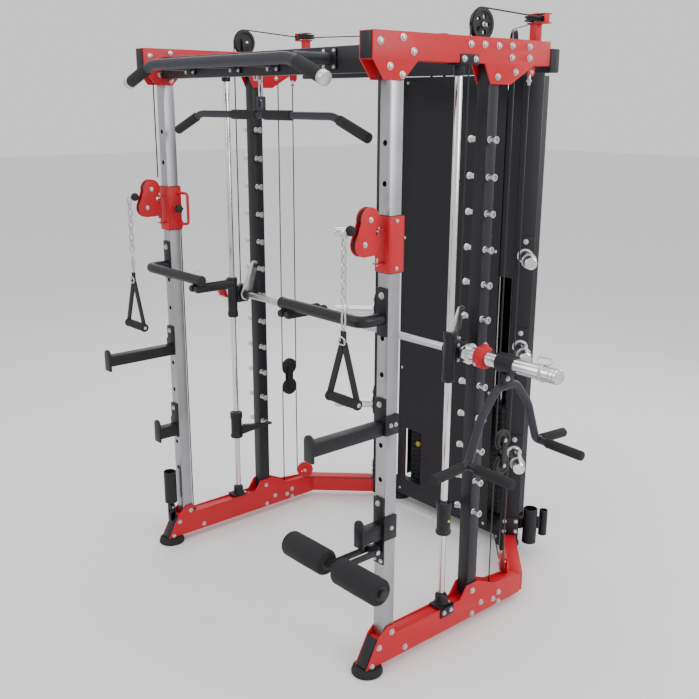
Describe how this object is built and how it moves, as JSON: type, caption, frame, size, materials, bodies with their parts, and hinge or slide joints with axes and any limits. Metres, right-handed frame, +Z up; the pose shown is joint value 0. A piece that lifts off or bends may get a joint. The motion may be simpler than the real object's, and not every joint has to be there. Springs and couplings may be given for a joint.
{
  "type": "smith machine",
  "caption": "All-in-one smith machine: red and black rack with guided bar on chrome rods, swivelling cable trolleys, weight-stack tower, pull-up bar, spotter arms and storage horns.",
  "frame": {"origin": "on the floor, under the middle of the machine's bounding box", "axes": "+Z up, -Y the open front where the user stands, +X the side with the leg rollers"},
  "size_m": [2.152, 1.506, 2.1905],
  "materials": {
    "red_paint": "semi-gloss red powder coat",
    "black_paint": "satin blue-black powder coat",
    "bright_steel": "brushed, clear coated",
    "chrome": "polished",
    "iron": "painted cast plates",
    "textured_grip": "textured grey-black coat with rubber grips",
    "rubber": "matt",
    "black_plastic": "moulded nylon",
    "cable_jacket": "nylon-coated steel cable"
  },
  "bodies": {
    "machine_frame": {"left_front_upright": "bright_steel", "left_rear_upright": "black_paint", "left_base_beam": "red_paint", "left_top_beam": "red_paint", "left_guide_rod": "chrome", "left_dip_handle": "black_paint", "left_spotter_arm": "black_paint", "left_j_cup": "black_paint", "left_column_cable": "cable_jacket", "left_return_cable": "cable_jacket", "left_upper_loop": "cable_jacket", "left_lower_loop": "cable_jacket", "left_smith_cable": "cable_jacket", "left_counter_cable": "cable_jacket", "right_front_upright": "bright_steel", "right_rear_upright": "black_paint", "right_base_beam": "red_paint", "right_top_beam": "red_paint", "right_guide_rod": "chrome", "right_dip_handle": "black_paint", "right_spotter_arm": "black_paint", "right_j_cup": "black_paint", "right_column_cable": "cable_jacket", "right_return_cable": "cable_jacket", "right_upper_loop": "cable_jacket", "right_lower_loop": "cable_jacket", "right_smith_cable": "cable_jacket", "right_counter_cable": "cable_jacket", "front_crossbeam": "black_paint", "tower_frame": "black_paint", "bar_holder": "black_paint", "front_shroud": "black_paint", "rear_shroud": "black_paint", "pull_up_bar": "textured_grip"},
    "smith_carriages": {"left_carriage": "black_paint", "right_carriage": "black_paint"},
    "smith_bar_body": {"smith_bar": "chrome"},
    "row_handle_body": {"row_handle": "textured_grip"},
    "lat_bar_body": {"lat_bar": "textured_grip"},
    "roller_arm_body": {"roller_arm": "black_paint"},
    "inner_roller_body": {"inner_foam_roller": "rubber"},
    "outer_roller_body": {"outer_foam_roller": "rubber"},
    "landmine_body": {"landmine_tube": "black_paint"},
    "left_safety_stop_body": {"left_safety_stop": "black_paint"},
    "left_trolley_body": {"left_trolley": "red_paint"},
    "left_swivel_bracket_body": {"left_swivel_bracket": "red_paint"},
    "left_pull_handle_body": {"left_pull_handle": "rubber"},
    "left_floating_block_body": {"left_floating_block": "black_paint"},
    "left_weight_stack_body": {"left_weight_stack": "iron"},
    "left_crown_pulley_body": {"left_crown_pulley": "black_plastic"},
    "left_turn_pulley_body": {"left_turn_pulley": "black_plastic"},
    "right_safety_stop_body": {"right_safety_stop": "black_paint"},
    "right_trolley_body": {"right_trolley": "red_paint"},
    "right_swivel_bracket_body": {"right_swivel_bracket": "red_paint"},
    "right_pull_handle_body": {"right_pull_handle": "rubber"},
    "right_floating_block_body": {"right_floating_block": "black_paint"},
    "right_weight_stack_body": {"right_weight_stack": "iron"},
    "right_crown_pulley_body": {"right_crown_pulley": "black_plastic"},
    "right_turn_pulley_body": {"right_turn_pulley": "black_plastic"}
  },
  "joints": [
    {"name": "smith_travel", "type": "slide", "parent": "machine_frame", "child": "smith_carriages", "axis": [0, 0, 1], "range_m": [-0.36, 0.6], "deforming": ["left_smith_cable", "right_smith_cable"]},
    {"name": "smith_bar_turn", "type": "hinge", "parent": "smith_carriages", "child": "smith_bar_body", "pos_m": [0, -0.089, 1.08], "axis": [1, 0, 0], "range_deg": [-16, 50]},
    {"name": "row_handle_swing", "type": "hinge", "parent": "smith_bar_body", "child": "row_handle_body", "pos_m": [0.866, -0.089, 1.08], "axis": [1, 0, 0], "range_deg": [-35, 35]},
    {"name": "lat_bar_swing", "type": "hinge", "parent": "machine_frame", "child": "lat_bar_body", "pos_m": [0, -0.429, 1.979], "axis": [1, 0, 0], "range_deg": [-40, 40]},
    {"name": "roller_arm_tilt", "type": "hinge", "parent": "machine_frame", "child": "roller_arm_body", "pos_m": [0.65, -0.479, 0.456], "axis": [1, 0, 0], "range_deg": [-8, 60]},
    {"name": "inner_roller_spin", "type": "hinge", "parent": "roller_arm_body", "child": "inner_roller_body", "pos_m": [0.5225, -0.652, 0.456], "axis": [1, 0, 0], "continuous": true},
    {"name": "outer_roller_spin", "type": "hinge", "parent": "roller_arm_body", "child": "outer_roller_body", "pos_m": [0.7775, -0.652, 0.456], "axis": [1, 0, 0], "continuous": true},
    {"name": "landmine_tilt", "type": "hinge", "parent": "machine_frame", "child": "landmine_body", "pos_m": [-0.66, -0.4875, 0.16], "axis": [1, 0, 0], "range_deg": [0, 80]},
    {"name": "left_stop_travel", "type": "slide", "parent": "machine_frame", "child": "left_safety_stop_body", "axis": [0, 0, 1], "range_m": [-0.24, 0.36]},
    {"name": "left_trolley_travel", "type": "slide", "parent": "machine_frame", "child": "left_trolley_body", "axis": [0, 0, 1], "range_m": [0, 0.36], "deforming": ["left_column_cable", "left_return_cable"]},
    {"name": "left_swivel", "type": "hinge", "parent": "left_trolley_body", "child": "left_swivel_bracket_body", "pos_m": [-0.65, -0.475, 1.48], "axis": [0, 0, 1], "range_deg": [-40, 40]},
    {"name": "left_handle_swing", "type": "hinge", "parent": "left_swivel_bracket_body", "child": "left_pull_handle_body", "pos_m": [-0.65, -0.611, 1.533], "axis": [1, 0, 0], "range_deg": [-60, 4]},
    {"name": "left_stack_lift", "type": "slide", "parent": "machine_frame", "child": "left_weight_stack_body", "axis": [0, 0, 1], "range_m": [0, 1]},
    {"name": "left_block_lift", "type": "slide", "parent": "machine_frame", "child": "left_floating_block_body", "axis": [0, 0, 1], "range_m": [0, 0.5], "deforming": ["left_upper_loop", "left_lower_loop"]},
    {"name": "left_crown_spin", "type": "hinge", "parent": "machine_frame", "child": "left_crown_pulley_body", "pos_m": [-0.65, -0.037, 2.137], "axis": [1, 0, 0], "range_deg": [-676, 406]},
    {"name": "left_turn_spin", "type": "hinge", "parent": "machine_frame", "child": "left_turn_pulley_body", "pos_m": [-0.623, 0.271, 2.172], "axis": [0, 0, 1], "range_deg": [-801, 480]},
    {"name": "right_stop_travel", "type": "slide", "parent": "machine_frame", "child": "right_safety_stop_body", "axis": [0, 0, 1], "range_m": [-0.24, 0.36]},
    {"name": "right_trolley_travel", "type": "slide", "parent": "machine_frame", "child": "right_trolley_body", "axis": [0, 0, 1], "range_m": [0, 0.36], "deforming": ["right_column_cable", "right_return_cable"]},
    {"name": "right_swivel", "type": "hinge", "parent": "right_trolley_body", "child": "right_swivel_bracket_body", "pos_m": [0.65, -0.475, 1.48], "axis": [0, 0, 1], "range_deg": [-40, 40]},
    {"name": "right_handle_swing", "type": "hinge", "parent": "right_swivel_bracket_body", "child": "right_pull_handle_body", "pos_m": [0.65, -0.611, 1.533], "axis": [1, 0, 0], "range_deg": [-60, 4]},
    {"name": "right_stack_lift", "type": "slide", "parent": "machine_frame", "child": "right_weight_stack_body", "axis": [0, 0, 1], "range_m": [0, 1]},
    {"name": "right_block_lift", "type": "slide", "parent": "machine_frame", "child": "right_floating_block_body", "axis": [0, 0, 1], "range_m": [0, 0.5], "deforming": ["right_upper_loop", "right_lower_loop"]},
    {"name": "right_crown_spin", "type": "hinge", "parent": "machine_frame", "child": "right_crown_pulley_body", "pos_m": [0.65, -0.037, 2.137], "axis": [1, 0, 0], "range_deg": [-676, 406]},
    {"name": "right_turn_spin", "type": "hinge", "parent": "machine_frame", "child": "right_turn_pulley_body", "pos_m": [0.623, 0.271, 2.172], "axis": [0, 0, 1], "range_deg": [-480, 801]}
  ],
  "couplings": [
    {"joint": "left_block_lift", "follows": "left_stack_lift", "ratio": 0.5},
    {"joint": "left_crown_spin", "follows": "smith_travel", "rad_per_m": -19.608},
    {"joint": "left_turn_spin", "follows": "smith_travel", "rad_per_m": -23.256},
    {"joint": "right_block_lift", "follows": "right_stack_lift", "ratio": 0.5},
    {"joint": "right_crown_spin", "follows": "smith_travel", "rad_per_m": -19.608},
    {"joint": "right_turn_spin", "follows": "smith_travel", "rad_per_m": 23.256}
  ]
}
